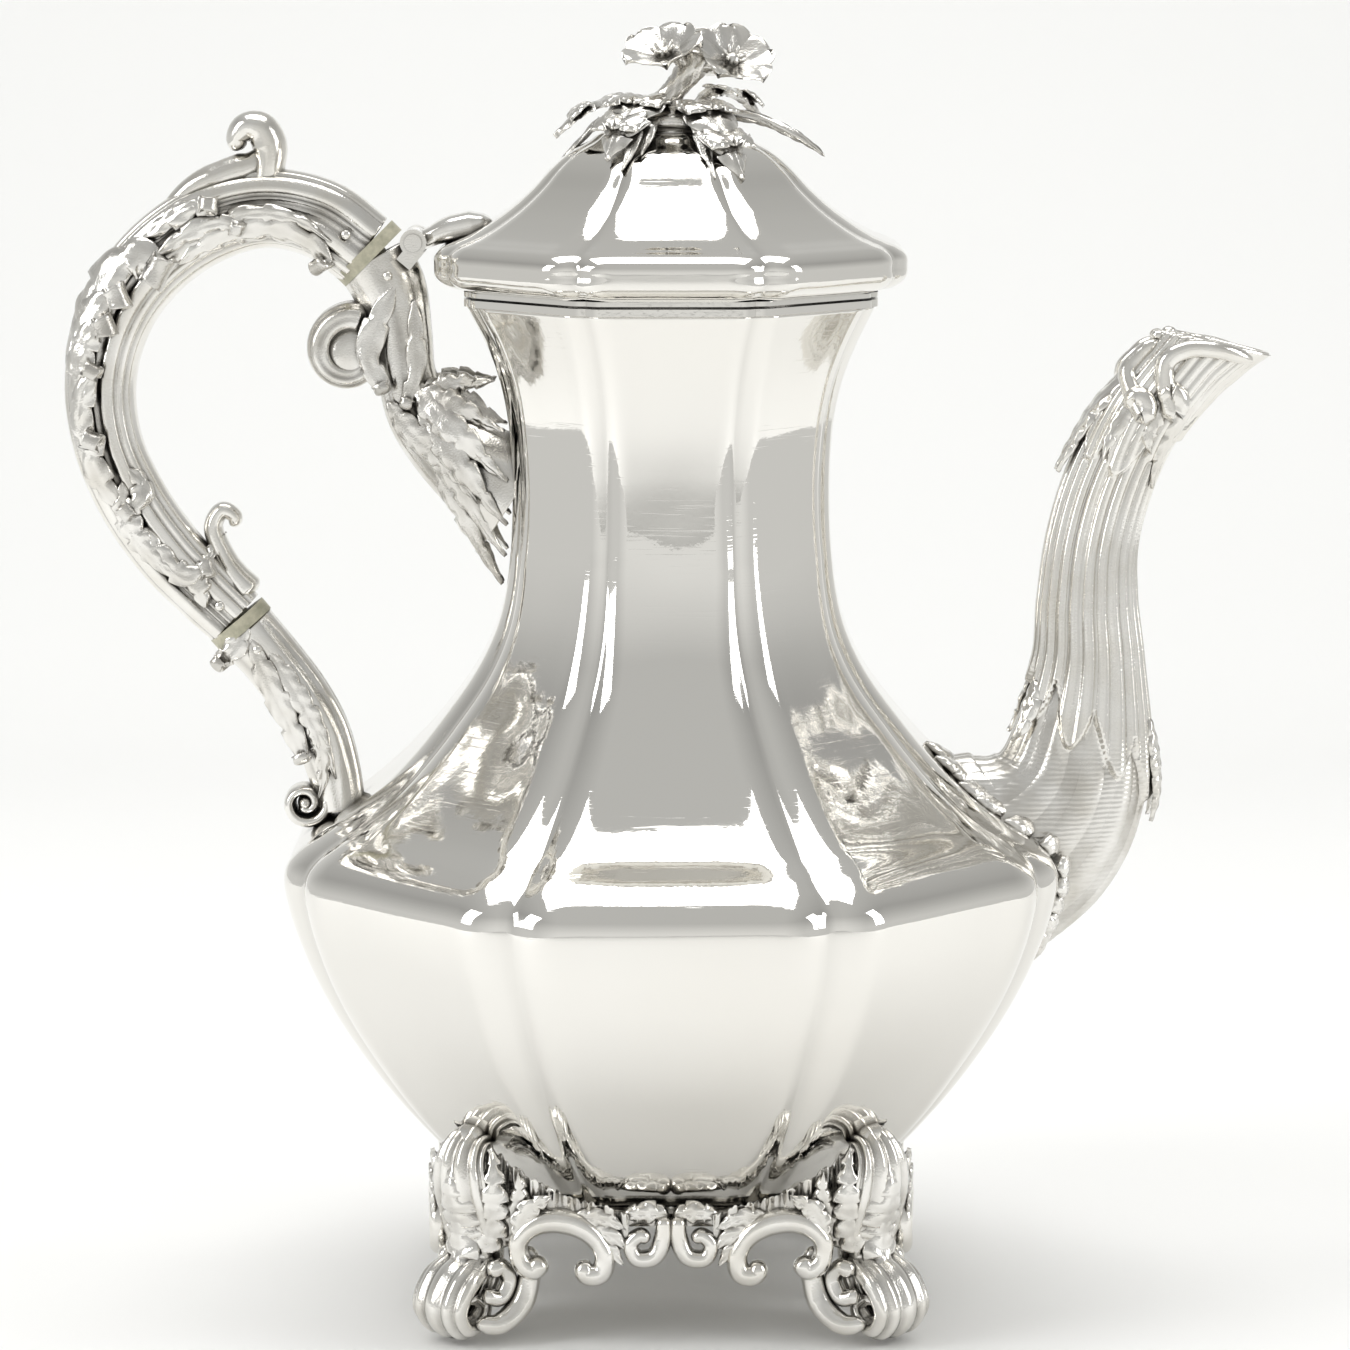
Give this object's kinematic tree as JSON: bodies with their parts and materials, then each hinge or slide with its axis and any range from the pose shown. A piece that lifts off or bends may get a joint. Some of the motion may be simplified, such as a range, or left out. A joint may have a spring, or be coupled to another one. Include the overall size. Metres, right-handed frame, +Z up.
{
  "type": "coffee pot",
  "caption": "Tall panelled silver coffee pot with curved spout, insulated scroll handle, hinged domed lid with flower finial and four scroll feet.",
  "frame": {"origin": "on the surface the feet stand on, below the middle of the pot's body", "axes": "+Z up, +X towards the spout, -X towards the handle, +Y across the pot to the far side"},
  "size_m": [0.2396, 0.1534, 0.2549],
  "materials": {
    "raised_silver": "hand-polished sheet silver with fine scratches and light tarnish in the grooves",
    "cast_silver": "chased cast silver, bright on the high places and dark in the recesses",
    "insulator": "aged ivory or bone, dull, slightly green-grey"
  },
  "bodies": {
    "pot": {"belly_shell": "raised_silver", "neck_shell": "raised_silver", "base_plate": "raised_silver", "base_ring": "raised_silver", "mouth_plate": "raised_silver", "spout_near_half": "cast_silver", "spout_far_half": "cast_silver", "handle_upper_socket": "cast_silver", "upper_insulator": "insulator", "handle_grip": "cast_silver", "lower_insulator": "insulator", "handle_lower_socket": "cast_silver", "upper_insulator_pins": "cast_silver", "lower_insulator_pins": "cast_silver", "hinge_knuckles": "cast_silver", "hinge_pin": "cast_silver", "foot_front_left": "cast_silver", "foot_front_right": "cast_silver", "foot_back_left": "cast_silver", "foot_back_right": "cast_silver"},
    "lid": {"lid_shell": "raised_silver", "lid_crown_plate": "raised_silver", "lid_underplate": "raised_silver", "lid_bezel": "raised_silver", "hinge_strap": "cast_silver", "finial_stud": "cast_silver", "finial_nut": "cast_silver", "finial_boss": "cast_silver", "finial_stem": "cast_silver", "finial_flower_left": "cast_silver", "finial_flower_right": "cast_silver", "finial_flower_back": "cast_silver", "finial_leaf_left": "cast_silver", "finial_leaf_front_left": "cast_silver", "finial_leaf_front_right": "cast_silver", "finial_leaf_right": "cast_silver", "finial_leaf_back": "cast_silver", "finial_twig": "cast_silver"}
  },
  "joints": [
    {"name": "lid_hinge", "type": "hinge", "parent": "pot", "child": "lid", "pos_m": [-0.0505, 0, 0.2113], "axis": [0, -1, 0], "range_deg": [0, 78]}
  ]
}
